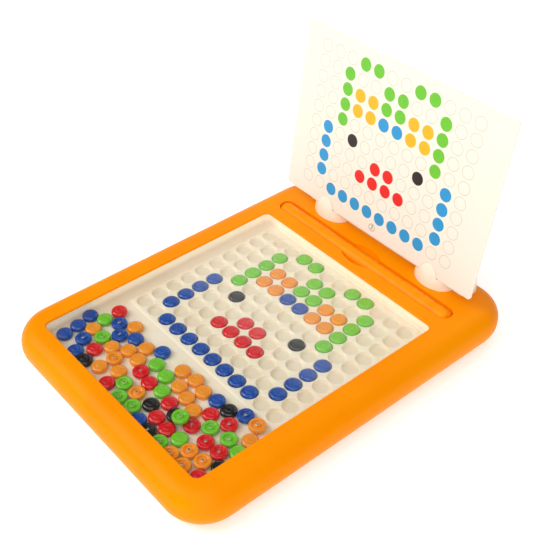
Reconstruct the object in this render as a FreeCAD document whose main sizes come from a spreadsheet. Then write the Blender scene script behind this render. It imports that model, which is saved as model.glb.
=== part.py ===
"""Magnetic bead drawing board, in millimetres.

The origin is the centre of the case's underside, on the surface that it stands on.
+X is to the user's right, +Y is away from the user and +Z is up.
Beads with steel pins slide about under a clear window, and a magnetic pen draws them
into the wells of the bead plate. A pattern card stands in a white stand behind the pen.
"""
import FreeCAD, Part
import math
import os
import Sketcher

Vector = FreeCAD.Vector
Rotation = FreeCAD.Rotation

NEAR = 1e-3  # how close two lengths are that count as equal
ROUGH = 10.0  # a sketch's lengths before its expressions set them

# ----------------------------------------------------------------------------- driving sizes
SIZES = {
    # case
    "case_width": 169.6,
    "case_length": 221.7,
    "case_height": 23.0,
    "corner_radius": 22.8,
    "shoulder_radius": 10.4,
    "base_radius": 12.0,
    "parting_height": 12.3,
    "case_wall": 2.4,
    # window and the chamber under it
    "window_width": 135.2,
    "window_length": 156.3,
    "window_centre": -17.7,
    "window_corner": 3.5,
    "window_edge": 0.8,
    "lip_overlap": 4.0,
    "pane_bottom": 20.7,
    "pane_thick": 1.2,
    "chamber_overlap": 2.0,
    "seat_clearance": 0.4,
    "cut_through": 0.2,
    # bead plate
    "pitch": 10.2,
    "columns": 12,
    "rows": 10,
    "first_row": -38.4,
    "plateau_top": 14.9,
    "sump_floor": 14.1,
    "plate_bottom": 11.7,
    "well_radius": 4.85,
    "well_floor": 13.1,
    "plateau_margin": 7.4,
    "plateau_corner": 4.0,
    "plateau_edge": 0.6,
    # bead
    "bead_radius": 4.45,
    "bead_height": 3.2,
    "bead_dome": 0.9,
    "bead_shoulder": 0.9,
    "bead_hub": 1.5,
    "bead_groove_inner": 1.6,
    "bead_groove_outer": 2.5,
    "bead_rim_inner": 2.7,
    "bead_groove_depth": 0.9,
    "bead_crown_radius": 2.3,
    "bead_crown_drop": 0.18,
    "bead_spacing": 0.25,
    "bead_clearance": 0.3,
    "stack_gap": 0.05,
    "pin_radius": 0.8,
    "pin_length": 2.2,
    "runner_gap": 0.2,
    "left_runner_start": 17.5,
    "right_runner_start": 12.4,
    "right_runner_line": 56.8,
    "stacked_right": 29.9,
    "stacked_front": -77.0,
    # pen
    "pen_length": 136.4,
    "pen_radius": 5.0,
    "pen_line": 73.9,
    "pen_rise": 1.2,
    "pen_bore": 3.8,
    "pen_cap_length": 14.0,
    "pen_nose_length": 13.0,
    "pen_spigot": 6.0,
    "pen_tip_wall": 2.0,
    "pen_end_round": 4.0,
    "magnet_radius": 3.0,
    "magnet_length": 10.0,
    "groove_length": 137.4,
    "groove_radius": 5.25,
    "groove_depth": 9.2,
    "groove_floor_round": 4.4,
    "groove_block_foot": 10.8,
    "groove_block_top": 21.5,
    "groove_block_shift": 1.0,
    "groove_wall": 3.0,
    "scoop_half_length": 14.0,
    "scoop_half_width": 8.2,
    "scoop_depth": 9.0,
    # stand and card
    "stand_width": 128.0,
    "stand_front": 91.0,
    "stand_depth": 12.0,
    "stand_height": 23.0,
    "stand_taper": 2.5,
    "stand_wall": 2.0,
    "stand_room": 5.5,
    "stand_corner": 4.5,
    "stand_edge": 1.5,
    "lobe_offset": 41.5,
    "lobe_half_width": 13.0,
    "lobe_height": 19.0,
    "lobe_depth": 9.3,
    "lobe_sink": 0.3,
    "tab_width": 20.0,
    "tab_thick": 5.0,
    "tab_height": 5.5,
    "tab_line": 95.0,
    "tab_root_drop": 1.0,
    "socket_clearance": 0.8,
    "card_width": 148.0,
    "card_height": 104.5,
    "card_thick": 0.7,
    "card_corner": 2.2,
    "card_lean": 8.4,
    "card_line": 84.7,
    "card_foot": 30.4,
    "card_shift": -2.3,
    "slot_gap": 0.35,
    "slot_reach": 30.0,
    # screws, their bosses and the posts under the bead plate
    "screw_side": 75.4,
    "screw_front_row": -80.0,
    "screw_middle_row": -5.0,
    "screw_back_row": 92.0,
    "screw_front_side": 40.0,
    "screw_front_line": -102.8,
    "screw_head_radius": 2.5,
    "screw_head_height": 2.0,
    "screw_shank_radius": 1.3,
    "screw_length": 12.0,
    "screw_sink": 3.0,
    "screw_bite": 11.0,
    "screw_clearance": 0.2,
    "recess_length": 3.0,
    "recess_width": 0.7,
    "recess_depth": 1.0,
    "boss_radius": 3.0,
    "boss_foot": 6.0,
    "boss_root": 0.4,
    "post_foot": 2.2,
    "plate_post_radius": 3.2,
    "plate_post_side": 45.0,
    "plate_post_step": 55.0,
}
# Expressions that several sub-parts share.
FIRST_COLUMN = "( 0 - ( columns - 1 ) * pitch / 2 )"
GRID_CENTRE = "( first_row + ( rows - 1 ) * pitch / 2 )"

doc = FreeCAD.newDocument("BeadBoard")
sheet = doc.addObject("Spreadsheet::Sheet", "Sizes")
for row, (alias, value) in enumerate(SIZES.items(), start=1):
    sheet.set("A%d" % row, alias)
    sheet.set("B%d" % row, str(value))
    sheet.setAlias("B%d" % row, alias)
doc.recompute()


def size(alias):
    """A driving size, read back from the sheet."""
    return float(getattr(sheet, alias))


def S(text):
    """An expression on the sheet: every word in text that is an alias gets the sheet's name."""
    words = []
    for word in text.split():
        words.append("Sizes." + word if word in SIZES else word)
    return " ".join(words)


# ----------------------------------------------------------------------------- helpers
def new_body(label):
    body = doc.addObject("PartDesign::Body", label)
    body.Label = label
    return body


def plane(body, role):
    for feature in body.Origin.OriginFeatures:
        if feature.Role == role:
            return feature
    raise ValueError("no plane " + role)


def new_sketch(body, name, role="XY_Plane", x="0", y="0", z="0"):
    """A sketch on one of the body's own planes, moved by three expressions in the plane's axes."""
    sketch = body.newObject("Sketcher::SketchObject", body.Label + "_" + name)
    sketch.AttachmentSupport = [(plane(body, role), "")]
    sketch.MapMode = "FlatFace"
    for axis, text in zip("xyz", (x, y, z)):
        sketch.setExpression("AttachmentOffset.Base." + axis, S(text))
    return sketch


def bind(sketch, constraint, text):
    """Add one dimension to a sketch and tie it to an expression on the sheet."""
    index = sketch.addConstraint(constraint)
    name = "size%d" % index
    sketch.renameConstraint(index, name)
    sketch.setExpression("Constraints." + name, S(text))


def draw_rectangle(sketch, width, length):
    """A rectangle centred on the sketch's origin."""
    signs = ((-1, -1), (1, -1), (1, 1), (-1, 1))
    corners = [Vector(2 * ROUGH * x, ROUGH * y, 0) for x, y in signs]
    for i in range(4):
        sketch.addGeometry(Part.LineSegment(corners[i], corners[(i + 1) % 4]), False)
    for i in range(4):
        sketch.addConstraint(Sketcher.Constraint("Coincident", i, 2, (i + 1) % 4, 1))
    for i in (0, 2):
        sketch.addConstraint(Sketcher.Constraint("Horizontal", i))
        sketch.addConstraint(Sketcher.Constraint("Vertical", i + 1))
    sketch.addConstraint(Sketcher.Constraint("Symmetric", 0, 1, 2, 1, -1, 1))
    bind(sketch, Sketcher.Constraint("DistanceX", 0, 1, 0, 2, 4 * ROUGH), width)
    bind(sketch, Sketcher.Constraint("DistanceY", 1, 1, 1, 2, 2 * ROUGH), length)


def draw_circle(sketch, radius):
    sketch.addGeometry(Part.Circle(Vector(0, 0, 0), Vector(0, 0, 1), ROUGH), False)
    sketch.addConstraint(Sketcher.Constraint("Coincident", 0, 3, -1, 1))
    bind(sketch, Sketcher.Constraint("Radius", 0, ROUGH), radius)


def draw_stadium(sketch, length, radius):
    """A slot with half-round ends along X, centred on the sketch's origin."""
    up = Vector(0, 0, 1)
    reach = 3 * ROUGH
    quarter = math.pi / 2
    sketch.addGeometry(Part.LineSegment(Vector(-reach, -ROUGH, 0), Vector(reach, -ROUGH, 0)), False)
    right = Part.Circle(Vector(reach, 0, 0), up, ROUGH)
    sketch.addGeometry(Part.ArcOfCircle(right, -quarter, quarter), False)
    sketch.addGeometry(Part.LineSegment(Vector(reach, ROUGH, 0), Vector(-reach, ROUGH, 0)), False)
    left = Part.Circle(Vector(-reach, 0, 0), up, ROUGH)
    sketch.addGeometry(Part.ArcOfCircle(left, quarter, 3 * quarter), False)
    for i in range(4):
        sketch.addConstraint(Sketcher.Constraint("Tangent", i, 2, (i + 1) % 4, 1))
    sketch.addConstraint(Sketcher.Constraint("Equal", 1, 3))
    sketch.addConstraint(Sketcher.Constraint("Horizontal", 0))
    sketch.addConstraint(Sketcher.Constraint("Symmetric", 1, 3, 3, 3, -1, 1))
    bind(sketch, Sketcher.Constraint("Radius", 1, ROUGH), radius)
    straight = length + " - 2 * " + radius
    bind(sketch, Sketcher.Constraint("DistanceX", 3, 3, 1, 3, 2 * reach), straight)


def draw_profile(sketch, points):
    """A closed outline of straight edges. Each point is a pair of expressions from the origin."""
    count = len(points)
    rough = [Vector(doc_value(u), doc_value(v), 0) for u, v in points]
    for i in range(count):
        sketch.addGeometry(Part.LineSegment(rough[i], rough[(i + 1) % count]), False)
    for i in range(count):
        sketch.addConstraint(Sketcher.Constraint("Coincident", i, 2, (i + 1) % count, 1))
    for i, (u, v) in enumerate(points):
        bind(sketch, Sketcher.Constraint("DistanceX", -1, 1, i, 1, rough[i].x), u)
        bind(sketch, Sketcher.Constraint("DistanceY", -1, 1, i, 1, rough[i].y), v)


def doc_value(text):
    """The present value of an expression on the sheet."""
    value = sheet.evalExpression(S(text))
    return float(value.Value if hasattr(value, "Value") else value)


def pad(body, sketch, length, name="Pad"):
    feature = body.newObject("PartDesign::Pad", body.Label + "_" + name)
    feature.Profile = sketch
    feature.setExpression("Length", S(length))
    sketch.Visibility = False
    doc.recompute()
    return feature


def pocket(body, sketch, depth, name="Pocket", upward=False):
    """Cut from the sketch's plane, down by depth, or up where upward is true."""
    before = body.Shape.Volume
    feature = body.newObject("PartDesign::Pocket", body.Label + "_" + name)
    feature.Profile = sketch
    feature.setExpression("Length", S(depth))
    feature.Reversed = upward
    doc.recompute()
    if body.Shape.Volume >= before:
        raise ValueError(feature.Name + " cuts nothing")
    return feature


def edges_where(shape, test):
    """Names of the edges whose middle point and direction pass the test."""
    names = []
    for i, edge in enumerate(shape.Edges, start=1):
        box = edge.BoundBox
        middle = edge.valueAt(0.5 * (edge.FirstParameter + edge.LastParameter))
        if test(edge, box, middle):
            names.append("Edge%d" % i)
    return names


def is_vertical(edge, box):
    return box.XLength < NEAR and box.YLength < NEAR and box.ZLength > NEAR


def fillet(body, test, radius, name="Fillet"):
    base = body.Tip
    names = edges_where(base.Shape, test)
    if not names:
        raise ValueError(name + " finds no edge on " + body.Label)
    feature = body.newObject("PartDesign::Fillet", body.Label + "_" + name)
    feature.Base = (base, names)
    feature.setExpression("Radius", S(radius))
    doc.recompute()
    return feature


def at_height(height):
    """A test for edges that lie flat at one height."""
    def test(edge, box, middle):
        return box.ZLength < NEAR and abs(middle.z - height) < NEAR
    return test


def group(label, shapes):
    """One node of several separate solids."""
    feature = doc.addObject("Part::Feature", label)
    feature.Label = label
    feature.Shape = Part.makeCompound(shapes)
    return feature


# ----------------------------------------------------------------------------- case
def top_frame():
    """Upper moulding: rounded rim, window opening, pen groove, sockets and screw bosses."""
    body = new_body("top_frame")
    outline = new_sketch(body, "outline", z="parting_height")
    draw_rectangle(outline, "case_width", "case_length")
    pad(body, outline, "case_height - parting_height")
    fillet(body, lambda e, box, m: is_vertical(e, box), "corner_radius", "Corners")
    fillet(body, at_height(size("case_height")), "shoulder_radius", "Shoulder")
    hollow_out(body, size("parting_height"))

    groove_block = new_sketch(body, "groove_block", y="pen_line + groove_block_shift",
                              z="groove_block_foot")
    draw_rectangle(groove_block, "groove_length + 2 * groove_wall", "2 * scoop_half_width + groove_wall")
    pad(body, groove_block, "groove_block_top - groove_block_foot", "GrooveBlock")
    for number, (x, y) in enumerate(screw_places(), start=1):
        boss = new_sketch(body, "boss%d" % number, x=x, y=y, z="boss_foot")
        draw_circle(boss, "boss_radius")
        pad(body, boss, "case_height - case_wall - boss_foot + boss_root", "Boss%d" % number)

    seat = new_sketch(body, "pane_seat", y="window_centre", z="parting_height")
    draw_rectangle(seat, "window_width + 2 * lip_overlap + seat_clearance",
                   "window_length + 2 * lip_overlap + seat_clearance")
    pocket(body, seat, "pane_bottom + pane_thick - parting_height", "PaneSeat", upward=True)
    window = new_sketch(body, "window", y="window_centre", z="case_height")
    draw_rectangle(window, "window_width", "window_length")
    pocket(body, window, "case_wall", "Window")
    half = size("window_width") / 2
    fillet(body, lambda e, box, m: is_vertical(e, box) and abs(abs(m.x) - half) < NEAR,
           "window_corner", "WindowCorners")
    fillet(body, around_window(), "window_edge", "WindowEdge")

    groove = new_sketch(body, "groove", y="pen_line", z="case_height")
    draw_stadium(groove, "groove_length", "groove_radius")
    pocket(body, groove, "groove_depth", "Groove")
    floor = size("case_height") - size("groove_depth")
    fillet(body, at_height(floor), "groove_floor_round", "GrooveFloor")
    scoop = body.newObject("PartDesign::SubtractiveEllipsoid", "top_frame_scoop")
    scoop.setExpression("Radius1", S("scoop_depth"))
    scoop.setExpression("Radius2", S("scoop_half_length"))
    scoop.setExpression("Radius3", S("scoop_half_width"))
    scoop.setExpression("Placement.Base.y", S("pen_line"))
    scoop.setExpression("Placement.Base.z", S("case_height"))
    doc.recompute()

    for side, x in (("left", "0 - lobe_offset"), ("right", "lobe_offset")):
        socket = new_sketch(body, side + "_socket", x=x, y="tab_line", z="case_height")
        draw_rectangle(socket, "tab_width + socket_clearance", "tab_thick + socket_clearance")
        pocket(body, socket, "case_wall + cut_through", side.capitalize() + "Socket")
    for number, (x, y) in enumerate(screw_places(), start=1):
        pilot = new_sketch(body, "pilot%d" % number, x=x, y=y, z="boss_foot")
        draw_circle(pilot, "screw_shank_radius")
        pocket(body, pilot, "screw_bite", "Pilot%d" % number, upward=True)
    return body


def around_window():
    """A test for the edges around the top of the window opening."""
    flat = at_height(size("case_height"))
    across = size("window_width") / 2 + NEAR
    along = size("window_length") / 2 + NEAR

    def test(edge, box, middle):
        inside = abs(middle.x) < across and abs(middle.y - size("window_centre")) < along
        return inside and flat(edge, box, middle)
    return test


def hollow_out(body, open_height):
    """Turn a rounded block into a shell that is open at one height."""
    base = body.Tip
    faces = []
    for i, face in enumerate(base.Shape.Faces, start=1):
        box = face.BoundBox
        if box.ZLength < NEAR and abs(box.ZMin - open_height) < NEAR:
            faces.append("Face%d" % i)
    shell = body.newObject("PartDesign::Thickness", body.Label + "_Shell")
    shell.Base = (base, faces)
    shell.Reversed = True
    shell.setExpression("Value", S("case_wall"))
    doc.recompute()


def screw_places():
    """Screw centres as expressions: three down each side and two at the front."""
    places = []
    for x in ("0 - screw_side", "screw_side"):
        for y in ("screw_front_row", "screw_middle_row", "screw_back_row"):
            places.append((x, y))
    for x in ("0 - screw_front_side", "screw_front_side"):
        places.append((x, "screw_front_line"))
    return places


def bottom_shell():
    """Lower moulding: rounded tray with screw wells and the posts that carry the bead plate."""
    body = new_body("bottom_shell")
    outline = new_sketch(body, "outline")
    draw_rectangle(outline, "case_width", "case_length")
    pad(body, outline, "parting_height")
    fillet(body, lambda e, box, m: is_vertical(e, box), "corner_radius", "Corners")
    fillet(body, at_height(0.0), "base_radius", "Base")
    hollow_out(body, size("parting_height"))
    for number, (x, y) in enumerate(screw_places(), start=1):
        post = new_sketch(body, "screw_post%d" % number, x=x, y=y, z="post_foot")
        draw_circle(post, "boss_radius")
        pad(body, post, "boss_foot - post_foot", "ScrewPost%d" % number)
    for number, (x, y) in enumerate(screw_places(), start=1):
        sink = new_sketch(body, "sink%d" % number, x=x, y=y)
        draw_circle(sink, "screw_head_radius + screw_clearance")
        pocket(body, sink, "screw_sink", "Sink%d" % number, upward=True)
        hole = new_sketch(body, "hole%d" % number, x=x, y=y)
        draw_circle(hole, "screw_shank_radius + screw_clearance")
        pocket(body, hole, "boss_foot", "Hole%d" % number, upward=True)
    for number, (x, y) in enumerate(plate_posts(), start=1):
        post = new_sketch(body, "plate_post%d" % number, x=x, y=y, z="post_foot")
        draw_circle(post, "plate_post_radius")
        pad(body, post, "plate_bottom - post_foot", "PlatePost%d" % number)
    return body


def plate_posts():
    """Centres of the posts under the bead plate, three down each side."""
    places = []
    for x in ("0 - plate_post_side", "plate_post_side"):
        for step in (-1, 0, 1):
            places.append((x, "window_centre + %d * plate_post_step" % step))
    return places


def window_pane():
    body = new_body("window_pane")
    outline = new_sketch(body, "outline", y="window_centre", z="pane_bottom")
    draw_rectangle(outline, "window_width + 2 * lip_overlap", "window_length + 2 * lip_overlap")
    pad(body, outline, "pane_thick")
    fillet(body, lambda e, box, m: is_vertical(e, box), "window_corner", "Corners")
    return body


def bead_plate():
    """Tray under the window: a flat sump at the front and a plateau of round wells behind it."""
    body = new_body("bead_plate")
    outline = new_sketch(body, "outline", y="window_centre", z="plate_bottom")
    draw_rectangle(outline, "window_width + 2 * lip_overlap - seat_clearance",
                   "window_length + 2 * lip_overlap - seat_clearance")
    pad(body, outline, "pane_bottom - plate_bottom")
    fillet(body, lambda e, box, m: is_vertical(e, box), "window_corner", "Corners")
    chamber = new_sketch(body, "chamber", y="window_centre", z="pane_bottom")
    draw_rectangle(chamber, "window_width + 2 * chamber_overlap", "window_length + 2 * chamber_overlap")
    pocket(body, chamber, "pane_bottom - sump_floor", "Chamber")
    inner = size("window_width") / 2 + size("chamber_overlap")
    fillet(body, lambda e, box, m: is_vertical(e, box) and abs(abs(m.x) - inner) < NEAR,
           "window_corner", "ChamberCorners")
    plateau = new_sketch(body, "plateau", y=GRID_CENTRE, z="plate_bottom")
    draw_rectangle(plateau, "( columns - 1 ) * pitch + 2 * plateau_margin",
                   "( rows - 1 ) * pitch + 2 * plateau_margin")
    pad(body, plateau, "plateau_top - plate_bottom", "Plateau")
    edge = (size("columns") - 1) * size("pitch") / 2 + size("plateau_margin")
    fillet(body, lambda e, box, m: is_vertical(e, box) and abs(abs(m.x) - edge) < NEAR,
           "plateau_corner", "PlateauCorners")
    fillet(body, at_height(size("plateau_top")), "plateau_edge", "PlateauEdge")

    first = new_sketch(body, "first_well", x=FIRST_COLUMN, y="first_row", z="plateau_top")
    draw_circle(first, "well_radius")
    well = pocket(body, first, "plateau_top - well_floor", "Well")
    grid = body.newObject("PartDesign::LinearPattern", "bead_plate_Wells")
    grid.Originals = [well]
    grid.Direction = (first, ["H_Axis"])
    grid.Direction2 = (first, ["V_Axis"])
    grid.setExpression("Length", S("( columns - 1 ) * pitch"))
    grid.setExpression("Occurrences", S("columns"))
    grid.setExpression("Length2", S("( rows - 1 ) * pitch"))
    grid.setExpression("Occurrences2", S("rows"))
    body.Tip = grid
    doc.recompute()
    return body


# ----------------------------------------------------------------------------- beads
# Each letter is a bead: G green, Y orange, B blue, K black, R red. The back row comes first.
# E is the black bead of the left eye, which the pen can lift.
PICTURE = [
    "...GG..GG...",
    "..G..GG..G..",
    "..GYYGGYYG..",
    "..GYYBBYYG..",
    "..G......G..",
    ".B.E....K.B.",
    ".B...RR...B.",
    ".B..RRRR..B.",
    ".B........B.",
    "..BBBBBBBB..",
]
# The loose beads seen from above, four letters to the pitch. Small letters lie upside down.
# The fourth letter of a line is on the first column of wells.
SUMP = [
    "...................................................",
    "...........................................b.......",
    "...................................................",
    ".........O.........B......O...O......B...K.........",
    "..................................O..............O.",
    "......b.....B...O..........................r.......",
    "...G.................G.......O.........R...........",
    ".........b...............G.......O............g....",
    "B.............O...O.................O.....g......G.",
    ".....................r......G......................",
    "....O..g...O.............R......R......r....r..r...",
    "..............o...................k................",
    ".B................................................K",
    ".....b...R........O......o....K....................",
    ".....................g...........R...R..G..o...o...",
    ".B............O.............g......................",
    ".......B..K........R....g..........k.............R.",
    "...............................B......g...o..o.....",
]
LETTERS_PER_PITCH = 4
LETTERS_BEFORE_WELLS = 3
PUSHES = 400
COLOURS = {"G": "green", "Y": "orange", "O": "orange", "B": "blue", "K": "black", "R": "red"}


def bead_shell():
    """The moulded disc: a domed top, and a ring groove around the pin's hub underneath."""
    body = new_body("bead_shell")
    profile = new_sketch(body, "profile", role="XZ_Plane")
    draw_profile(profile, [
        ("pin_radius", "0"), ("bead_hub", "0"), ("bead_groove_inner", "bead_groove_depth"),
        ("bead_groove_outer", "bead_groove_depth"), ("bead_rim_inner", "0"),
        ("bead_radius", "0"), ("bead_radius", "bead_height - bead_dome"),
        ("bead_crown_radius", "bead_height - bead_crown_drop"), ("0", "bead_height"),
        ("0", "pin_length"), ("pin_radius", "pin_length")])
    turn = body.newObject("PartDesign::Revolution", "bead_shell_Revolution")
    turn.Profile = profile
    turn.ReferenceAxis = (profile, ["V_Axis"])
    turn.Angle = 360
    doc.recompute()
    rim = size("bead_radius")
    fillet(body, lambda e, box, m: abs(box.XLength - 2 * rim) < NEAR and box.ZLength < NEAR,
           "bead_shoulder", "Shoulder")
    return body


def seated_beads():
    """Centre of the underside of each bead of the picture, by colour letter."""
    found = []
    back = len(PICTURE) - 1
    for line, text in enumerate(PICTURE):
        for column, letter in enumerate(text):
            if letter == ".":
                continue
            x = doc_value(FIRST_COLUMN) + column * size("pitch")
            y = size("first_row") + (back - line) * size("pitch")
            found.append((letter, Vector(x, y, size("well_floor"))))
    return found


def loose_beads():
    """Centre of each loose bead, after beads that overlap have pushed each other apart."""
    step = size("pitch") / LETTERS_PER_PITCH
    beads = []
    for line, text in enumerate(SUMP):
        for column, letter in enumerate(text):
            if letter != ".":
                x = doc_value(FIRST_COLUMN) + (column - LETTERS_BEFORE_WELLS) * step
                y = size("first_row") - size("pitch") - line * step
                beads.append([letter, x, y])
    runners = [(v.x, v.y) for v in runner_places().values()]
    spacing = 2 * size("bead_radius") + size("bead_spacing")
    margin = size("bead_radius") + size("bead_clearance")
    reach = size("window_width") / 2 + size("chamber_overlap") - margin
    front = size("window_centre") - size("window_length") / 2 - size("chamber_overlap") + margin
    back = size("first_row") - size("plateau_margin") - margin
    for _ in range(PUSHES):
        for i, bead in enumerate(beads):
            for other in beads[i + 1:]:
                push_apart(bead, other, spacing)
            for x, y in runners:
                push_away(bead, x, y, spacing)
            bead[1] = min(max(bead[1], -reach), reach)
            bead[2] = min(max(bead[2], front), back)
    return [(letter, Vector(x, y, size("sump_floor"))) for letter, x, y in beads]


def push_apart(bead, other, spacing):
    """Move two beads that are too close half of the missing distance each."""
    dx = other[1] - bead[1]
    dy = other[2] - bead[2]
    gap = math.hypot(dx, dy)
    if 0 < gap < spacing:
        share = 0.5 * (spacing - gap) / gap
        bead[1] -= dx * share
        bead[2] -= dy * share
        other[1] += dx * share
        other[2] += dy * share


def push_away(bead, x, y, spacing):
    """Move a bead off a fixed point."""
    dx = bead[1] - x
    dy = bead[2] - y
    gap = math.hypot(dx, dy)
    if 0 < gap < spacing:
        bead[1] += dx * (spacing - gap) / gap
        bead[2] += dy * (spacing - gap) / gap


def runner_places():
    """Where the two beads start whose lanes beside the picture are free, just above the plateau."""
    height = size("plateau_top") + size("runner_gap")
    left = size("first_row") - size("left_runner_start")
    right = size("first_row") - size("right_runner_start")
    return {"left_runner": Vector(doc_value(FIRST_COLUMN), left, height),
            "right_runner": Vector(size("right_runner_line"), right, height)}


def placed(shape, foot, upside_down=False):
    """A copy of a bead or pin with the middle of its lower face at foot."""
    copy = shape.copy()
    if upside_down:
        copy.rotate(Vector(0, 0, 0), Vector(1, 0, 0), 180)
        copy.translate(Vector(0, 0, size("bead_height")))
    copy.translate(foot)
    return copy


def all_beads():
    """The seated beads by colour, the loose beads by colour, their pins, and the lone beads."""
    shell = bead_shell().Shape
    pin_part = doc.addObject("Part::Cylinder", "bead_pin")
    pin_part.setExpression("Radius", "Sizes.pin_radius")
    pin_part.setExpression("Height", "Sizes.pin_length")
    doc.recompute()
    pin = pin_part.Shape
    made = []
    shells = {}
    pins = {"seated": [], "loose": []}
    for letter, foot in seated_beads():
        if letter == "E":
            made += [group("eye_bead", [placed(shell, foot)]), group("eye_bead_pin", [placed(pin, foot)])]
            continue
        shells.setdefault("seated_beads_" + COLOURS[letter], []).append(placed(shell, foot))
        pins["seated"].append(placed(pin, foot))
    loose = loose_beads()
    resting_on = Vector(size("stacked_right"), size("stacked_front"),
                        size("sump_floor") + size("bead_height") + size("stack_gap"))
    loose.append(("g", resting_on))
    for letter, foot in loose:
        turned = letter.islower()
        colour = COLOURS[letter.upper()]
        shells.setdefault("loose_beads_" + colour, []).append(placed(shell, foot, turned))
        pins["loose"].append(placed(pin, foot, turned))
    for label, solids in shells.items():
        made.append(group(label, solids))
    for state, solids in pins.items():
        made.append(group(state + "_bead_pins", solids))
    for name, foot in runner_places().items():
        turned = name == "right_runner"
        made.append(group(name + "_bead", [placed(shell, foot, turned)]))
        made.append(group(name + "_pin", [placed(pin, foot, turned)]))
    return made


# ----------------------------------------------------------------------------- pen
BARREL_LEFT = "( pen_cap_length - pen_length / 2 )"
BARREL_RIGHT = "( pen_length / 2 - pen_nose_length )"


def turned_about_x(label, points):
    """A body turned about X, from an outline of x and radius, moved into the pen's place."""
    body = new_body(label)
    profile = new_sketch(body, "profile", role="XZ_Plane")
    draw_profile(profile, points)
    turn = body.newObject("PartDesign::Revolution", label + "_Revolution")
    turn.Profile = profile
    turn.ReferenceAxis = (profile, ["H_Axis"])
    turn.Angle = 360
    doc.recompute()
    return body


def lay_in_groove(feature):
    feature.setExpression("Placement.Base.y", "Sizes.pen_line")
    feature.setExpression("Placement.Base.z", S("case_height - pen_radius + pen_rise"))
    doc.recompute()


def round_end(body, x):
    rim = size("pen_radius")
    fillet(body, lambda e, box, m: box.XLength < NEAR and abs(box.XMin - x) < NEAR
           and abs(box.ZLength - 2 * rim) < NEAR, "pen_end_round", "End")


def pen():
    """The magnetic pen: a hollow barrel, a tail cap, and a nose that holds the magnet."""
    end = size("pen_length") / 2
    barrel = turned_about_x("pen_barrel", [
        (BARREL_LEFT, "pen_bore"), (BARREL_RIGHT, "pen_bore"),
        (BARREL_RIGHT, "pen_radius"), (BARREL_LEFT, "pen_radius")])
    cap = turned_about_x("pen_tail_cap", [
        ("0 - pen_length / 2", "0"), (BARREL_LEFT + " + pen_spigot", "0"),
        (BARREL_LEFT + " + pen_spigot", "pen_bore"), (BARREL_LEFT, "pen_bore"),
        (BARREL_LEFT, "pen_radius"), ("0 - pen_length / 2", "pen_radius")])
    round_end(cap, -end)
    nose = turned_about_x("pen_nose", [
        (BARREL_RIGHT + " - pen_spigot", "magnet_radius"), ("pen_length / 2 - pen_tip_wall", "magnet_radius"),
        ("pen_length / 2 - pen_tip_wall", "0"), ("pen_length / 2", "0"),
        ("pen_length / 2", "pen_radius"), (BARREL_RIGHT, "pen_radius"),
        (BARREL_RIGHT, "pen_bore"), (BARREL_RIGHT + " - pen_spigot", "pen_bore")])
    round_end(nose, end)
    magnet = doc.addObject("Part::Cylinder", "pen_magnet")
    magnet.setExpression("Radius", "Sizes.magnet_radius")
    magnet.setExpression("Height", "Sizes.magnet_length")
    magnet.Placement.Rotation = Rotation(Vector(0, 1, 0), 90)
    magnet.setExpression("Placement.Base.x", S("pen_length / 2 - pen_tip_wall - magnet_length"))
    for feature in (barrel, cap, nose, magnet):
        lay_in_groove(feature)
    return [barrel, cap, nose, magnet]


# ----------------------------------------------------------------------------- stand and card
def card_stand():
    """The white stand: a hollow wedge, two rounded lobes with a slot, and two plug-in tabs."""
    body = new_body("card_stand")
    side = new_sketch(body, "side", role="YZ_Plane", z="0 - stand_width / 2")
    draw_profile(side, [
        ("stand_front", "case_height"), ("stand_front + stand_depth", "case_height"),
        ("stand_front + stand_depth - stand_taper", "case_height + stand_height"),
        ("stand_front", "case_height + stand_height")])
    pad(body, side, "stand_width")
    top = size("case_height") + size("stand_height")
    rise = size("stand_height")
    fillet(body, lambda e, box, m: box.XLength < NEAR and box.ZLength > rise / 2, "stand_corner", "Corners")
    fillet(body, at_height(top), "stand_edge", "Top")
    for name, x in (("left", "0 - lobe_offset"), ("right", "lobe_offset")):
        lobe = body.newObject("PartDesign::AdditiveEllipsoid", "card_stand_%s_lobe" % name)
        lobe.Angle1 = 0
        lobe.setExpression("Radius1", S("lobe_height"))
        lobe.setExpression("Radius2", S("lobe_half_width"))
        lobe.setExpression("Radius3", S("lobe_depth"))
        lobe.setExpression("Placement.Base.x", S(x))
        lobe.setExpression("Placement.Base.y", S("stand_front + lobe_sink"))
        lobe.setExpression("Placement.Base.z", S("case_height"))
        doc.recompute()
    inside = new_sketch(body, "inside", y="stand_front + stand_wall + stand_room / 2", z="case_height")
    draw_rectangle(inside, "stand_width - 2 * stand_wall", "stand_room")
    pocket(body, inside, "stand_height - stand_wall", "Inside", upward=True)
    for name, x in (("left", "0 - lobe_offset"), ("right", "lobe_offset")):
        tab = new_sketch(body, name + "_tab", x=x, y="tab_line", z="case_height - tab_height")
        draw_rectangle(tab, "tab_width", "tab_thick")
        pad(body, tab, "tab_height + stand_height - tab_root_drop", name.capitalize() + "Tab")
    slot = new_sketch(body, "slot", role="YZ_Plane", z="0 - stand_width")
    draw_profile(slot, slot_outline())
    cut = body.newObject("PartDesign::Pocket", "card_stand_Slot")
    cut.Profile = slot
    cut.setExpression("Length", S("2 * stand_width"))
    cut.Reversed = True
    before = body.Shape.Volume
    doc.recompute()
    if cut.Shape.Volume >= before:
        raise ValueError("the card slot cuts nothing")
    return body


def slot_outline():
    """The slot in the Y-Z plane: a long thin slanted rectangle around the card."""
    points = []
    for along, across in ((-1, -1), (-1, 1), (1, 1), (1, -1)):
        run = "slot_reach" if along > 0 else "( 0 - slot_gap )"
        half = "( card_thick / 2 + slot_gap )" if across > 0 else "( 0 - card_thick / 2 - slot_gap )"
        y = "card_line + %s * sin( card_lean * 1deg ) + %s * cos( card_lean * 1deg )" % (run, half)
        z = "card_foot + %s * cos( card_lean * 1deg ) - %s * sin( card_lean * 1deg )" % (run, half)
        points.append((y, z))
    return points


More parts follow.
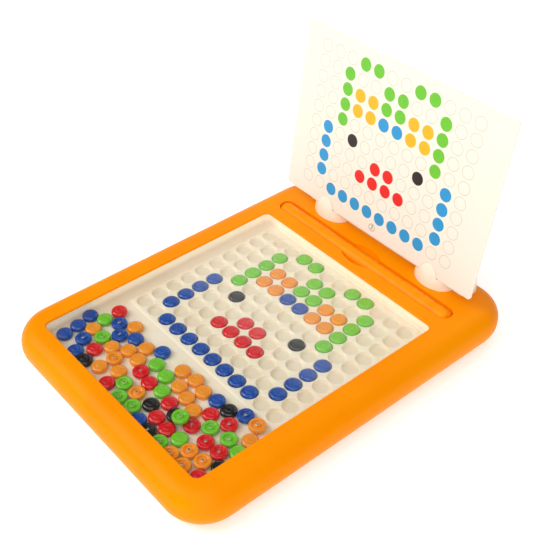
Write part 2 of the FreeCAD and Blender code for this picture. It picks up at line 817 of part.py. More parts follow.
def pattern_card():
    """The printed card, leaning back in the stand."""
    body = new_body("pattern_card")
    outline = new_sketch(body, "outline", y="card_height / 2", z="0 - card_thick / 2")
    draw_rectangle(outline, "card_width", "card_height")
    pad(body, outline, "card_thick")
    fillet(body, lambda e, box, m: is_vertical(e, box), "card_corner", "Corners")
    body.Placement.Rotation = Rotation(Vector(1, 0, 0), 90)
    body.setExpression("Placement.Rotation.Angle", S("90deg - card_lean * 1deg"))
    body.setExpression("Placement.Base.x", "Sizes.card_shift")
    body.setExpression("Placement.Base.y", "Sizes.card_line")
    body.setExpression("Placement.Base.z", "Sizes.card_foot")
    doc.recompute()
    return body


# ----------------------------------------------------------------------------- screws
def case_screws():
    """Eight self-tapping screws with cross recesses, up through the bottom shell."""
    head = doc.addObject("Part::Cylinder", "screw_head")
    head.setExpression("Radius", "Sizes.screw_head_radius")
    head.setExpression("Height", "Sizes.screw_head_height")
    shank = doc.addObject("Part::Cylinder", "screw_shank")
    shank.setExpression("Radius", "Sizes.screw_shank_radius")
    shank.setExpression("Height", S("screw_head_height + screw_length"))
    blank = doc.addObject("Part::Fuse", "screw_blank")
    blank.Base = head
    blank.Tool = shank
    for name, across, along in (("recess_x", "recess_length", "recess_width"),
                                ("recess_y", "recess_width", "recess_length")):
        bar = doc.addObject("Part::Box", name)
        bar.setExpression("Length", S(across))
        bar.setExpression("Width", S(along))
        bar.setExpression("Height", S("recess_depth"))
        bar.setExpression("Placement.Base.x", S("0 - %s / 2" % across))
        bar.setExpression("Placement.Base.y", S("0 - %s / 2" % along))
        slotted = doc.addObject("Part::Cut", "screw_" + name)
        slotted.Base = blank
        slotted.Tool = bar
        blank = slotted
    doc.recompute()
    head_foot = size("screw_sink") - size("screw_head_height")
    solids = []
    for x, y in screw_places():
        screw = blank.Shape.copy()
        screw.translate(Vector(doc_value(x), doc_value(y), head_foot))
        solids.append(screw)
    return group("case_screws", solids)


# ----------------------------------------------------------------------------- build and write
nodes = [top_frame(), bottom_shell(), window_pane(), bead_plate()]
nodes += all_beads()
nodes += pen()
nodes += [card_stand(), pattern_card(), case_screws()]
doc.recompute()

for item in doc.Objects:
    if "Invalid" in item.State or "Error" in item.State:
        raise ValueError("%s failed: %s" % (item.Label, item.State))

os.makedirs("parts", exist_ok=True)
for node in nodes:
    shape = node.Shape
    if shape.isNull() or not shape.isValid() or not shape.Solids:
        raise ValueError(node.Label + " has no valid solid")
    shape.exportStep("parts/%s.step" % node.Label)
    box = shape.optimalBoundingBox(True, False)
    print("%-22s %3d solids %9.1f mm3  X %.1f..%.1f  Y %.1f..%.1f  Z %.1f..%.1f" % (
        node.Label, len(shape.Solids), shape.Volume,
        box.XMin, box.XMax, box.YMin, box.YMax, box.ZMin, box.ZMax))
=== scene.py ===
import math
import random

import bmesh
import bpy
import numpy as np
from mathutils import Matrix, Quaternion, Vector


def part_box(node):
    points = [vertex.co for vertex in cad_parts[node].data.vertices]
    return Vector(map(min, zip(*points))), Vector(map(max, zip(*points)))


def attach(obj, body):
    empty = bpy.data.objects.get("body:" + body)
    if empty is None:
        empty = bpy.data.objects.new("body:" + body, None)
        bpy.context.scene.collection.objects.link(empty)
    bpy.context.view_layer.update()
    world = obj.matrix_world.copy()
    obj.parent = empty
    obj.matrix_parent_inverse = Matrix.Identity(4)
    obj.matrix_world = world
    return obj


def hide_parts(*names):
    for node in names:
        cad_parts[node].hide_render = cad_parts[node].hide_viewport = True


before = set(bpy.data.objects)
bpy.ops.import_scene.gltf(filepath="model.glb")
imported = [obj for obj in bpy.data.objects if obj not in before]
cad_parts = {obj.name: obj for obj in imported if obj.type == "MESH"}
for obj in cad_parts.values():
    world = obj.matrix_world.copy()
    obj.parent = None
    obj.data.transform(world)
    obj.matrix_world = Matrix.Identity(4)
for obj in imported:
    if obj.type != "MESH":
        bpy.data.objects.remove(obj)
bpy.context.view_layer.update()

MM = 0.001

# ----------------------------------------------------------------------------- camera and light
CAMERA_PLACE = (293.8, -242.9, 368.6)
CAMERA_TARGET = (-15.6, 11.7, 16.3)
CAMERA_ROLL = -0.55
CAMERA_LENS = 61.2
CAMERA_SHIFT = (0.0345, 0.0295)


def in_metres(point):
    return Vector(point) * MM


def add_camera():
    data = bpy.data.cameras.new("camera")
    data.lens = CAMERA_LENS
    data.sensor_width = 36.0
    data.shift_x, data.shift_y = CAMERA_SHIFT
    data.clip_start = 0.01
    camera = bpy.data.objects.new("camera", data)
    bpy.context.scene.collection.objects.link(camera)
    camera.location = in_metres(CAMERA_PLACE)
    look = in_metres(CAMERA_TARGET) - camera.location
    turn = Quaternion((0, 0, 1), math.radians(CAMERA_ROLL))
    camera.rotation_mode = "QUATERNION"
    camera.rotation_quaternion = look.to_track_quat("-Z", "Y") @ turn
    bpy.context.scene.camera = camera


def add_softbox(name, place, target, width, length, power):
    """A rectangular lamp at place, in metres, that faces target."""
    data = bpy.data.lights.new(name, "AREA")
    data.shape = "RECTANGLE"
    data.size = width
    data.size_y = length
    data.energy = power
    lamp = bpy.data.objects.new(name, data)
    bpy.context.scene.collection.objects.link(lamp)
    lamp.location = place
    lamp.rotation_mode = "QUATERNION"
    lamp.rotation_quaternion = (Vector(target) - lamp.location).to_track_quat("-Z", "Y")


def add_studio():
    world = bpy.data.worlds.new("studio")
    world.use_nodes = True
    background = world.node_tree.nodes["Background"]
    background.inputs["Color"].default_value = (1.0, 0.99, 0.97, 1)
    background.inputs["Strength"].default_value = 0.08
    bpy.context.scene.world = world
    middle = (0, 0, 0.03)
    add_softbox("key", (-0.75, -0.75, 0.95), middle, 0.9, 0.9, 11.0)
    add_softbox("overhead", (0.3, -0.6, 1.6), middle, 1.6, 1.6, 13.0)
    add_softbox("back_wall", (-0.7, 0.8, 0.68), (-0.7, 0, 0.68), 2.2, 1.2, 8.0)
    add_softbox("fill", (1.1, -0.8, 0.6), middle, 1.0, 1.0, 9.0)
    bpy.context.scene.view_settings.view_transform = "Standard"


# ----------------------------------------------------------------------------- materials
def colour(red, green, blue):
    """A linear colour from the 0 to 255 values that a screen shows."""
    def linear(value):
        share = value / 255
        return share / 12.92 if share <= 0.04045 else ((share + 0.055) / 1.055) ** 2.4
    return (linear(red), linear(green), linear(blue), 1)


class Nodes:
    """A short way to build one material's node tree around its Principled shader."""

    def __init__(self, name):
        self.material = bpy.data.materials.new(name)
        self.material.use_nodes = True
        self.tree = self.material.node_tree
        self.shader = self.tree.nodes["Principled BSDF"]
        self.place = self.add("ShaderNodeTexCoord").outputs["Object"]

    def add(self, kind, **values):
        node = self.tree.nodes.new(kind)
        for key, value in values.items():
            setattr(node, key, value)
        return node

    def join(self, output, target):
        self.tree.links.new(output, target)

    def noise(self, grain, detail=3.0, distortion=0.0):
        """Noise whose lumps are about grain millimetres across."""
        node = self.add("ShaderNodeTexNoise")
        self.join(self.place, node.inputs["Vector"])
        node.inputs["Scale"].default_value = 1 / (grain * MM)
        node.inputs["Detail"].default_value = detail
        node.inputs["Distortion"].default_value = distortion
        return node.outputs["Fac"]

    def blend(self, share, first, second):
        """Two colours or links, mixed by share."""
        node = self.add("ShaderNodeMix", data_type="RGBA")
        self.put(share, node.inputs[0])
        self.put(first, node.inputs[6])
        self.put(second, node.inputs[7])
        return node.outputs[2]

    def put(self, value, target):
        if isinstance(value, bpy.types.NodeSocket):
            self.join(value, target)
        else:
            target.default_value = value

    def spread(self, fac, low, high, start=0.3, end=0.7):
        """Map the middle of a noise's range onto low to high."""
        node = self.add("ShaderNodeMapRange")
        self.join(fac, node.inputs["Value"])
        node.inputs["From Min"].default_value = start
        node.inputs["From Max"].default_value = end
        node.inputs["To Min"].default_value = low
        node.inputs["To Max"].default_value = high
        return node.outputs["Result"]

    def by_height(self, low, high):
        """How far up an object-space height lies between two heights in millimetres."""
        parts = self.add("ShaderNodeSeparateXYZ")
        self.join(self.place, parts.inputs["Vector"])
        return self.spread(parts.outputs["Z"], 0.0, 1.0, low * MM, high * MM)

    def bump(self, heights):
        """Bumps from pairs of a height link and a depth in millimetres, one on another."""
        normal = None
        for height, depth in heights:
            node = self.add("ShaderNodeBump")
            node.inputs["Distance"].default_value = depth * MM
            self.join(height, node.inputs["Height"])
            if normal is not None:
                self.join(normal, node.inputs["Normal"])
            normal = node.outputs["Normal"]
        self.join(normal, self.shader.inputs["Normal"])


def moulded(name, base, shade, gloss, coat=0.0, soft=0.0, ripple=0.03, mottle=6.0, shine=0.5):
    """Moulded plastic: slow colour drift from base to shade, uneven gloss and a fine skin."""
    nodes = Nodes(name)
    drift = nodes.spread(nodes.noise(mottle, 4.0, 0.4), 0.0, 1.0)
    nodes.join(nodes.blend(drift, base, shade), nodes.shader.inputs["Base Color"])
    low, high = gloss
    rough = nodes.spread(nodes.noise(2.2, 5.0), low, high)
    nodes.join(rough, nodes.shader.inputs["Roughness"])
    nodes.bump([(nodes.noise(5.0, 2.0), ripple), (nodes.noise(0.35, 2.0), 0.004)])
    nodes.shader.inputs["Specular IOR Level"].default_value = shine
    nodes.shader.inputs["Coat Weight"].default_value = coat
    nodes.shader.inputs["Coat Roughness"].default_value = 0.12
    nodes.shader.inputs["Subsurface Weight"].default_value = soft
    nodes.shader.inputs["Subsurface Scale"].default_value = 2 * MM
    return nodes


def plastic(*looks, **more):
    return moulded(*looks, **more).material


def milky_plate_with_painted_light():
    """Milky plate with painted shade and painted light: its well floors are greyer, and it glows more the
    higher up it lies, from 14.6 mm to 17.5 mm, so its side walls look lit.
    """
    nodes = moulded("cream_plate", colour(254, 243, 219), colour(252, 239, 213), (0.34, 0.46), soft=0.15,
                    mottle=18.0)
    base = nodes.shader.inputs["Base Color"]
    drift = base.links[0].from_socket
    # Painted shade: the plate's colour is greyer below 13.7 mm, on the well floors, so the wells look
    # shaded.
    painted_floor_shade = nodes.add("ShaderNodeMix", data_type="RGBA", blend_type="MULTIPLY")
    painted_floor_shade.inputs[0].default_value = 1.0
    nodes.join(drift, painted_floor_shade.inputs[6])
    shade = nodes.blend(nodes.by_height(13.1, 13.7), colour(243, 241, 238), colour(255, 255, 255))
    nodes.join(shade, painted_floor_shade.inputs[7])
    nodes.join(painted_floor_shade.outputs[2], base)
    # Painted light: the plate glows, from nothing at 14.6 mm up to full strength at 17.5 mm, so its side
    # walls look lit.
    nodes.shader.inputs["Emission Color"].default_value = colour(255, 243, 219)
    painted_wall_glow = nodes.add("ShaderNodeMath", operation="MULTIPLY")
    nodes.join(nodes.by_height(14.6, 17.5), painted_wall_glow.inputs[0])
    painted_wall_glow.inputs[1].default_value = 0.28
    nodes.join(painted_wall_glow.outputs[0], nodes.shader.inputs["Emission Strength"])
    return nodes.material


def plated_steel():
    nodes = Nodes("steel")
    tarnish = nodes.spread(nodes.noise(1.2, 5.0), 0.0, 1.0)
    tint = nodes.blend(tarnish, colour(232, 230, 224), colour(186, 184, 180))
    nodes.join(tint, nodes.shader.inputs["Base Color"])
    nodes.join(nodes.spread(nodes.noise(0.4, 4.0), 0.16, 0.34), nodes.shader.inputs["Roughness"])
    nodes.shader.inputs["Metallic"].default_value = 1.0
    nodes.bump([(nodes.noise(0.3, 3.0), 0.01)])
    return nodes.material


def window_plastic():
    """Clear sheet: it lets the view straight through, mirrors a little and has a faint haze."""
    nodes = Nodes("clear_window")
    facing = nodes.add("ShaderNodeLayerWeight")
    facing.inputs["Blend"].default_value = 0.5
    falloff = nodes.add("ShaderNodeMath", operation="POWER")
    nodes.join(facing.outputs["Facing"], falloff.inputs[0])
    falloff.inputs[1].default_value = 5.0
    mirror = nodes.spread(falloff.outputs[0], 0.04, 1.0, 0.0, 1.0)
    clear = nodes.add("ShaderNodeBsdfTransparent")
    clear.inputs["Color"].default_value = (0.985, 0.985, 0.98, 1)
    haze = nodes.add("ShaderNodeBsdfDiffuse")
    haze.inputs["Color"].default_value = (0.93, 0.93, 0.92, 1)
    gloss = nodes.add("ShaderNodeBsdfGlossy")
    gloss.inputs["Roughness"].default_value = 0.1
    dusty = nodes.add("ShaderNodeMixShader")
    nodes.join(nodes.spread(nodes.noise(14.0, 4.0, 0.6), 0.0, 0.003), dusty.inputs[0])
    nodes.join(clear.outputs[0], dusty.inputs[1])
    nodes.join(haze.outputs[0], dusty.inputs[2])
    surface = nodes.add("ShaderNodeMixShader")
    nodes.join(mirror, surface.inputs[0])
    nodes.join(dusty.outputs[0], surface.inputs[1])
    nodes.join(gloss.outputs[0], surface.inputs[2])
    nodes.join(surface.outputs[0], nodes.tree.nodes["Material Output"].inputs["Surface"])
    nodes.tree.nodes.remove(nodes.shader)
    return nodes.material


def card_paper(name, base, shade, gloss=(0.42, 0.55)):
    """Laminated card, or the ink on it: fine fibres and a faint mottle."""
    nodes = Nodes(name)
    fibre = nodes.spread(nodes.noise(0.9, 6.0, 1.2), 0.0, 1.0)
    nodes.join(nodes.blend(fibre, base, shade), nodes.shader.inputs["Base Color"])
    low, high = gloss
    nodes.join(nodes.spread(nodes.noise(3.0, 3.0), low, high), nodes.shader.inputs["Roughness"])
    nodes.bump([(nodes.noise(0.5, 4.0), 0.006)])
    return nodes.material


BEAD_GLOSS = (0.16, 0.26)
MATERIALS = {
    "orange_case": plastic("orange_case", colour(255, 150, 0), colour(255, 143, 0), (0.3, 0.4),
                           ripple=0.05, mottle=30.0, shine=0.06),
    "orange_pen": plastic("orange_pen", colour(255, 152, 2), colour(250, 140, 0), (0.26, 0.36), shine=0.1),
    "cream_plate": milky_plate_with_painted_light(),
    "white_stand": plastic("white_stand", colour(253, 243, 222), colour(251, 239, 216), (0.34, 0.44),
                           soft=0.1, mottle=14.0),
    "steel": plated_steel(),
    "clear_window": window_plastic(),
    "printed_card": card_paper("printed_card", colour(247, 238, 223), colour(245, 235, 219)),
    "green_bead": plastic("green_bead", colour(122, 212, 40), colour(108, 200, 32), BEAD_GLOSS, coat=0.3),
    "orange_bead": plastic("orange_bead", colour(252, 158, 26), colour(248, 148, 18), BEAD_GLOSS, coat=0.3),
    "blue_bead": plastic("blue_bead", colour(1, 80, 176), colour(1, 70, 164), BEAD_GLOSS, coat=0.3),
    "red_bead": plastic("red_bead", colour(232, 8, 22), colour(218, 6, 18), BEAD_GLOSS, coat=0.3),
    "black_bead": plastic("black_bead", colour(11, 10, 9), colour(7, 6, 6), BEAD_GLOSS, coat=0.3),
}
INKS = {
    "G": card_paper("green_ink", colour(112, 200, 44), colour(102, 190, 38)),
    "Y": card_paper("yellow_ink", colour(242, 186, 4), colour(238, 178, 2)),
    "B": card_paper("blue_ink", colour(36, 154, 214), colour(28, 146, 206)),
    "R": card_paper("red_ink", colour(236, 16, 10), colour(228, 10, 8)),
    "K": card_paper("dark_ink", colour(34, 20, 14), colour(26, 16, 12)),
    ".": card_paper("outline_ink", colour(210, 203, 190), colour(202, 195, 182)),
}


def paint(node, material):
    """Give a CAD node's own slots a material."""
    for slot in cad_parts[node].material_slots:
        slot.material = MATERIALS[material]


# ----------------------------------------------------------------------------- mesh helpers
SHARP_ANGLE = 40.0


def new_piece(name, vertices, faces, materials, body, slot, replaced, indices=None):
    """A smooth-shaded mesh object that rides on a body and stands for CAD nodes."""
    mesh = bpy.data.meshes.new(name)
    mesh.from_pydata([tuple(v) for v in vertices], [], faces)
    for material in materials:
        mesh.materials.append(material)
    if indices is not None:
        mesh.polygons.foreach_set("material_index", indices)
    mesh.polygons.foreach_set("use_smooth", [True] * len(mesh.polygons))
    mesh.set_sharp_from_angle(angle=math.radians(SHARP_ANGLE))
    mesh.update()
    piece = bpy.data.objects.new(name, mesh)
    bpy.context.scene.collection.objects.link(piece)
    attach(piece, body)
    if replaced:
        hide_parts(*replaced)
    return piece


def rounded(corners, steps=3):
    """An outline through corners of (radius from the axis, height, corner rounding)."""
    points = [corners[0][:2]]
    for before, corner, after in zip(corners, corners[1:], corners[2:]):
        here = Vector(corner[:2])
        towards = [Vector(end[:2]) - here for end in (before, after)]
        cut = [min(corner[2], 0.45 * way.length) for way in towards]
        start, end = [here + way.normalized() * length for way, length in zip(towards, cut)]
        for k in range(steps + 1):
            share = k / steps
            curve = start * (1 - share) ** 2 + here * 2 * share * (1 - share) + end * share ** 2
            points.append(tuple(curve))
    points.append(corners[-1][:2])
    return points


def turned(profile, segments=32):
    """Vertices and faces of a solid turned about Z. The profile starts and ends on the axis."""
    first, *middle, last = profile
    vertices = [(0, 0, first[1])]
    for radius, height in middle:
        for k in range(segments):
            angle = 2 * math.pi * k / segments
            vertices.append((radius * math.cos(angle), radius * math.sin(angle), height))
    vertices.append((0, 0, last[1]))
    end = len(vertices) - 1
    faces = []
    for k in range(segments):
        after = (k + 1) % segments
        faces.append((0, 1 + k, 1 + after))
        for ring in range(len(middle) - 1):
            near = 1 + ring * segments
            far = near + segments
            faces.append((near + k, far + k, far + after, near + after))
        far = end - segments
        faces.append((far + k, end, far + after))
    return np.array(vertices), faces


def joined(shape, places):
    """Copies of one shape at several places, as one list of vertices and one of faces."""
    vertices, faces = shape
    all_vertices = []
    all_faces = []
    for matrix in places:
        turn = np.array(matrix.to_3x3())
        offset = len(all_vertices) * len(vertices)
        all_vertices.append(vertices @ turn.T + np.array(matrix.translation))
        all_faces += [tuple(index + offset for index in face) for face in faces]
    return np.concatenate(all_vertices), all_faces


# ----------------------------------------------------------------------------- beads
BEAD_HEIGHT = 3.2
PIN_RADIUS = 0.8
PIN_LENGTH = 2.2
ON_AXIS = 0.3  # how near to the axis the points of a bead's crown are looked for
CROWN = BEAD_HEIGHT - PIN_LENGTH
# Radius, height and rounding of each corner, from the middle of the top to the pin's blind hole.
BEAD_CORNERS = [
    (0, 3.08, 0), (1.3, 3.15, 0.6), (1.75, 2.9, 0.3), (2.2, 3.1, 0.6), (3.4, 2.94, 0.8), (4.45, 2.3, 0.9),
    (4.45, 0, 1.0), (2.75, 0, 0.4), (2.5, 0.9, 0.3), (1.62, 0.9, 0.3), (1.5, 0, 0.25),
    (0.82, 0, 0.12), (0.82, PIN_LENGTH, 0.1), (0, PIN_LENGTH, 0)]
PIN_CORNERS = [
    (0, PIN_LENGTH, 0), (0.78, PIN_LENGTH, 0.1), (0.78, 0.02, 0.25), (0.3, 0.02, 0.1), (0, 0.12, 0)]
COLOURS = ("green", "orange", "blue", "black", "red")


def scaled(profile):
    return [(radius * MM, height * MM) for radius, height in profile]


BEAD = turned(scaled(rounded(BEAD_CORNERS)))
PIN = turned(scaled(rounded(PIN_CORNERS)), 16)


def node_points(name):
    """All vertices of a CAD node as one array, in metres."""
    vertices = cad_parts[name].data.vertices
    points = np.empty(len(vertices) * 3)
    vertices.foreach_get("co", points)
    return points.reshape(-1, 3)


def pin_centres(name):
    """The centre of each pin of a CAD node: its points lie less than a pin's width apart."""
    left = node_points(name)
    centres = []
    while len(left):
        near = np.hypot(left[:, 0] - left[0, 0], left[:, 1] - left[0, 1]) < 2.2 * PIN_RADIUS * MM
        pin = left[near]
        centres.append((pin.min(0) + pin.max(0)) / 2)
        left = left[~near]
    return centres


def bead_places(node, centres, chance):
    """Where this node's beads stand. A bead's crown has points on its axis beyond the pin's end."""
    points = node_points(node)
    beyond = (PIN_LENGTH / 2 + CROWN + 0.02) * MM
    places = []
    for centre in centres:
        across = np.hypot(points[:, 0] - centre[0], points[:, 1] - centre[1])
        heights = points[across < ON_AXIS * MM, 2]
        heights = heights[abs(heights - centre[2]) < beyond]
        if not len(heights):
            continue
        upside_down = heights.mean() < centre[2]
        turn = Matrix.Rotation(chance.uniform(0, 2 * math.pi), 4, "Z")
        if upside_down:
            crown = Matrix.Translation((0, 0, BEAD_HEIGHT * MM)) @ Matrix.Rotation(math.pi, 4, "X")
            foot = centre[2] - (PIN_LENGTH / 2 + CROWN) * MM
        else:
            crown = Matrix.Identity(4)
            foot = centre[2] - PIN_LENGTH / 2 * MM
        places.append(Matrix.Translation((centre[0], centre[1], foot)) @ crown @ turn)
    return places


def add_beads():
    """Finer beads and pins in the places of the CAD nodes' beads and pins."""
    chance = random.Random(7)
    for state in ("seated", "loose"):
        pins = state + "_bead_pins"
        centres = pin_centres(pins)
        pin_places = []
        for name in COLOURS:
            node = "%s_beads_%s" % (state, name)
            places = bead_places(node, centres, chance)
            pin_places += places
            slot = name + "_bead"
            look = [MATERIALS[slot]]
            new_piece(node.replace("beads", "discs"), *joined(BEAD, places), look, "case", slot, [node])
        look = [MATERIALS["steel"]]
        new_piece(state + "_steel_pins", *joined(PIN, pin_places), look, "case", "steel", [pins])
    for body, node, pin, slot in (
            ("left_runner", "left_runner_bead", "left_runner_pin", "red_bead"),
            ("right_runner", "right_runner_bead", "right_runner_pin", "orange_bead"),
            ("eye", "eye_bead", "eye_bead_pin", "black_bead")):
        places = bead_places(node, pin_centres(pin), chance)
        new_piece(body + "_disc", *joined(BEAD, places), [MATERIALS[slot]], body, slot, [node])
        new_piece(body + "_steel_pin", *joined(PIN, places), [MATERIALS["steel"]], body, "steel", [pin])


# ----------------------------------------------------------------------------- grids of round cells
def rounded_rectangle(middle, half, corner, height, steps=8):
    """Points around a rectangle with round corners, at one height."""
    points = []
    for turn, (sign_x, sign_y) in enumerate(((1, 1), (-1, 1), (-1, -1), (1, -1))):
        for k in range(steps + 1):
            angle = math.pi / 2 * (turn + k / steps)
            points.append(Vector((
                middle[0] + sign_x * (half[0] - corner) + corner * math.cos(angle),
                middle[1] + sign_y * (half[1] - corner) + corner * math.sin(angle), height)))
    return points


def add_loop(bm, points):
    """New vertices joined by a closed loop of edges."""
    loop = [bm.verts.new(point) for point in points]
    for k, vertex in enumerate(loop):
        bm.edges.new((vertex, loop[(k + 1) % len(loop)]))
    return loop


def bridge(bm, inner, outer, index=0):
    """Fill between two loops of as many vertices, with one material."""
    for k in range(len(inner)):
        after = (k + 1) % len(inner)
        face = bm.faces.new((inner[k], outer[k], outer[after], inner[after]))
        face.material_index = index


def loop_edges(loop):
    pairs = zip(loop, loop[1:] + loop[:1])
    return [edge_between(first, second) for first, second in pairs]


def edge_between(first, second):
    for edge in first.link_edges:
        if second in edge.verts:
            return edge
    raise ValueError("the loop is not closed")


def fill_between(bm, edges, loop):
    """Fill the flat ring between boundary edges and a loop outside them."""
    bmesh.ops.triangle_fill(bm, edges=edges + loop_edges(loop), use_beauty=True)


def round_cell(bm, middle, half, rings, indices, segments=40):
    """A rectangle of the grid with rings of (radius, height) inside it, closed in the middle."""
    angles = [2 * math.pi * k / segments for k in range(segments)]
    ways = [(math.cos(angle), math.sin(angle)) for angle in angles]
    loops = [[]]
    for c, s in ways:
        longest = max(abs(c), abs(s))
        corner = Vector((middle[0] + half[0] * c / longest, middle[1] + half[1] * s / longest, rings[0][1]))
        loops[0].append(bm.verts.new(corner))
    for radius, height in rings:
        ring = [(middle[0] + radius * c, middle[1] + radius * s, height) for c, s in ways]
        loops.append([bm.verts.new(point) for point in ring])
    for k, (outer, inner) in enumerate(zip(loops, loops[1:])):
        bridge(bm, inner, outer, indices[k])
    centre = bm.verts.new((middle[0], middle[1], rings[-1][1]))
    for k, vertex in enumerate(loops[-1]):
        face = bm.faces.new((vertex, loops[-1][(k + 1) % segments], centre))
        face.material_index = indices[-1]


def grid_of_cells(bm, first, pitch, counts, rings_and_indices):
    """Cells side by side, welded into one sheet. Returns the sheet's outer edges."""
    for row in range(counts[1]):
        for column in range(counts[0]):
            middle = (first[0] + column * pitch[0], first[1] + row * pitch[1])
            rings, indices = rings_and_indices(column, row)
            round_cell(bm, middle, (pitch[0] / 2, pitch[1] / 2), rings, indices)
    bmesh.ops.remove_doubles(bm, verts=bm.verts[:], dist=0.001)
    return [edge for edge in bm.edges if edge.is_boundary]


def finish_solid(bm, name, matrix, materials, body, slot, replaced):
    """Turn a mesh in millimetres into a piece."""
    bmesh.ops.recalc_face_normals(bm, faces=bm.faces[:])
    bm.verts.index_update()
    vertices = [matrix @ (vertex.co * MM) for vertex in bm.verts]
    faces = [tuple(vertex.index for vertex in face.verts) for face in bm.faces]
    indices = [face.material_index for face in bm.faces]
    bm.free()
    return new_piece(name, vertices, faces, materials, body, slot, replaced, indices)


# ----------------------------------------------------------------------------- bead plate
PITCH = 10.2
COLUMNS = 12
ROWS = 10
FIRST_ROW = -38.4
PLATEAU_TOP = 14.9
SUMP_FLOOR = 14.1
PLATEAU_MARGIN = 7.4
LIP_CORNER = 0.2
CHAMBER_WALL = 1.8
CHAMBER_CORNER = 3.5
# Inset from the chamber's side, corner radius and height above the floor, up the cove at its foot.
COVE = ((1.4, 3.0, 0.0), (0.8, 3.2, 0.5), (0.35, 3.4, 1.6), (0.0, CHAMBER_CORNER, 3.5))
# Radius and height down one well: a rounded lip, a steep side and a flat floor.
WELL = [(5.04, 14.9), (4.98, 14.87), (4.9, 14.78), (4.84, 14.6), (4.78, 14.3), (4.7, 13.9), (4.5, 13.5),
        (4.15, 13.22), (3.6, 13.1), (2.2, 13.06)]
LIP_ROUND = ((0.0, 0.0), (0.5, 0.03), (1.0, 0.14), (1.4, 0.32), (1.75, 0.52), (2.05, 0.7), (2.3, 0.8))
LIP_INSET = 2.2


def add_plate():
    """The tray: a plateau of 120 round wells, the smooth floor in front of it and the side walls."""
    bm = bmesh.new()
    first = (-(COLUMNS - 1) * PITCH / 2, FIRST_ROW)
    well = (WELL, [0] * (len(WELL) + 1))
    edges = grid_of_cells(bm, first, (PITCH, PITCH), (COLUMNS, ROWS), lambda column, row: well)
    middle = (0, FIRST_ROW + (ROWS - 1) * PITCH / 2)
    margin = PLATEAU_MARGIN - LIP_INSET
    half = ((COLUMNS - 1) * PITCH / 2 + margin, (ROWS - 1) * PITCH / 2 + margin)
    inner = None
    for outset, drop in LIP_ROUND:
        size = (half[0] + outset, half[1] + outset)
        loop = add_loop(bm, rounded_rectangle(middle, size, LIP_CORNER + outset, PLATEAU_TOP - drop))
        if inner is None:
            fill_between(bm, edges, loop)
        else:
            bridge(bm, inner, loop)
        inner = loop
    low, high = [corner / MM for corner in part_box("bead_plate")]
    centre = (0, (low.y + high.y) / 2)
    outer = (high.x, (high.y - low.y) / 2)
    chamber = (outer[0] - CHAMBER_WALL, outer[1] - CHAMBER_WALL)
    steps = []
    for inset, corner, rise in COVE:
        steps.append(((chamber[0] - inset, chamber[1] - inset), corner, SUMP_FLOOR + rise))
    for size, height in ((chamber, high.z), (outer, high.z), (outer, low.z)):
        steps.append((size, CHAMBER_CORNER, height))
    rim = None
    for size, corner, height in steps:
        loop = add_loop(bm, rounded_rectangle(centre, size, corner, height))
        if rim is None:
            fill_between(bm, loop_edges(inner), loop)
        else:
            bridge(bm, rim, loop)
        rim = loop
    bm.faces.new(rim)
    finish_solid(bm, "well_plate", Matrix.Identity(4), [MATERIALS["cream_plate"]], "case", "cream_plate",
                 ["bead_plate"])


# ----------------------------------------------------------------------------- pattern card
CARD_SIZE = (148.0, 104.5)
CARD_THICK = 0.7
CARD_LEAN = 8.4
CARD_CORNER = 2.2
DOT_PITCH = (9.98, 9.08)
FIRST_DOT = (16.8, 12.7)
DOT_RADIUS = 3.88
DOT_LINE = 0.34
CARD_EDGE = 0.12
NUMBER_PLACE = (72.7, 5.2)
NUMBER_RADIUS = 2.3
NUMBER_RING = 0.9  # the ring's inner radius as a share of its outer one
NUMBER_FILM = 0.02
NUMBER_CORNERS = 48
# Each letter is a printed dot: G green, Y yellow, B blue, K black, R red. The top row comes first.
PICTURE = [
    "...GG..GG...",
    "..G..GG..G..",
    "..GYYGGYYG..",
    "..GYYBBYYG..",
    "..G......G..",
    ".B.K....K.B.",
    ".B...RR...B.",
    ".B..RRRR..B.",
    ".B........B.",
    "..BBBBBBBB..",
]


def card_frame():
    """From the card's own axes, its lower left front corner first, to the frame."""
    low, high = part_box("pattern_card")
    lean = Matrix.Rotation(math.radians(90 - CARD_LEAN), 4, "X")
    corner = Vector((-CARD_SIZE[0] / 2, -CARD_SIZE[1] / 2, CARD_THICK / 2)) * MM
    return Matrix.Translation((low + high) / 2) @ lean @ Matrix.Translation(corner)


def add_card():
    """The card: a grid of printed dots and outlines on the front of a thin sheet."""
    bm = bmesh.new()
    rings = [(DOT_RADIUS, 0), (DOT_RADIUS - DOT_LINE, 0)]
    letters = list(INKS)

    def cell(column, row):
        letter = PICTURE[len(PICTURE) - 1 - row][column]
        ink = 1 + letters.index(letter)
        return rings, [0, ink, 0 if letter == "." else ink]

    edges = grid_of_cells(bm, FIRST_DOT, DOT_PITCH, (len(PICTURE[0]), len(PICTURE)), cell)
    middle = (CARD_SIZE[0] / 2, CARD_SIZE[1] / 2)
    inner = None
    edge = CARD_EDGE
    for inset, depth in ((edge, 0), (0, edge), (0, CARD_THICK - edge), (edge, CARD_THICK)):
        size = (middle[0] - inset, middle[1] - inset)
        loop = add_loop(bm, rounded_rectangle(middle, size, CARD_CORNER - inset, -depth))
        if inner is None:
            fill_between(bm, edges, loop)
        else:
            bridge(bm, inner, loop)
        inner = loop
    bm.faces.new(inner)
    materials = [MATERIALS["printed_card"]] + list(INKS.values())
    finish_solid(bm, "printed_sheet", card_frame(), materials, "card", "printed_card", ["pattern_card"])


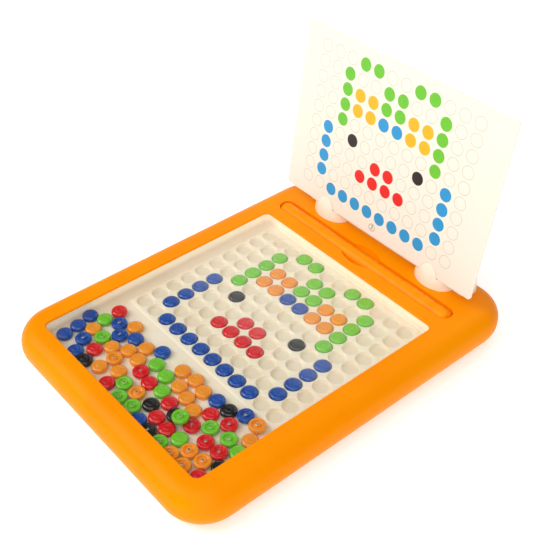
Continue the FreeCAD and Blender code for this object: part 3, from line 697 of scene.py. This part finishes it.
def add_card_number():
    """The card's number in a small ring, as a film of ink on its front."""
    text = bpy.data.curves.new("number_text", "FONT")
    text.body = "3"
    text.size = 1.6 * NUMBER_RADIUS * MM
    text.align_x = "CENTER"
    text.align_y = "CENTER"
    text.extrude = NUMBER_FILM / 2 * MM
    drawn = bpy.data.objects.new("number_text", text)
    bpy.context.scene.collection.objects.link(drawn)
    bpy.context.view_layer.update()
    mesh = bpy.data.meshes.new_from_object(drawn.evaluated_get(bpy.context.evaluated_depsgraph_get()))
    bpy.data.objects.remove(drawn)
    bm = bmesh.new()
    bm.from_mesh(mesh)
    bpy.data.meshes.remove(mesh)
    for vertex in bm.verts:
        vertex.co = vertex.co / MM
    loops = []
    for share, height in ((1, -0.5), (1, 0.5), (NUMBER_RING, 0.5), (NUMBER_RING, -0.5)):
        radius = share * NUMBER_RADIUS
        ring = []
        for k in range(NUMBER_CORNERS):
            angle = 2 * math.pi * k / NUMBER_CORNERS
            corner = (math.cos(angle) * radius, math.sin(angle) * radius, height * NUMBER_FILM)
            ring.append(bm.verts.new(corner))
        loops.append(ring)
    for near, far in zip(loops, loops[1:] + loops[:1]):
        bridge(bm, near, far)
    place = Matrix.Translation(Vector((NUMBER_PLACE[0], NUMBER_PLACE[1], NUMBER_FILM / 2)) * MM)
    finish_solid(bm, "card_number", card_frame() @ place, [INKS["K"]], "card", "printed_card", [])


# ----------------------------------------------------------------------------- the whole scene
def paint_cad_nodes():
    for node in ("top_frame", "bottom_shell"):
        paint(node, "orange_case")
    for node in ("pen_barrel", "pen_tail_cap", "pen_nose"):
        paint(node, "orange_pen")
    for node in ("pen_magnet", "case_screws"):
        paint(node, "steel")
    paint("card_stand", "white_stand")
    paint("window_pane", "clear_window")


def add_floor():
    """A pale floor with a faint glow, as on a light table."""
    nodes = Nodes("floor")
    speck = nodes.spread(nodes.noise(40.0, 3.0), 0.0, 1.0)
    tint = nodes.blend(speck, (0.93, 0.93, 0.93, 1), (0.9, 0.9, 0.9, 1))
    nodes.join(tint, nodes.shader.inputs["Base Color"])
    nodes.shader.inputs["Roughness"].default_value = 0.8
    nodes.shader.inputs["Emission Color"].default_value = (1, 1, 1, 1)
    nodes.shader.inputs["Emission Strength"].default_value = 0.4
    bm = bmesh.new()
    bmesh.ops.create_grid(bm, x_segments=1, y_segments=1, size=6.0)
    mesh = bpy.data.meshes.new("floor")
    bm.to_mesh(mesh)
    bm.free()
    mesh.materials.append(nodes.material)
    floor = bpy.data.objects.new("floor", mesh)
    bpy.context.scene.collection.objects.link(floor)
    floor.location.z = -0.0002


add_camera()
add_studio()
add_floor()
paint_cad_nodes()
add_plate()
add_beads()
add_card()
add_card_number()
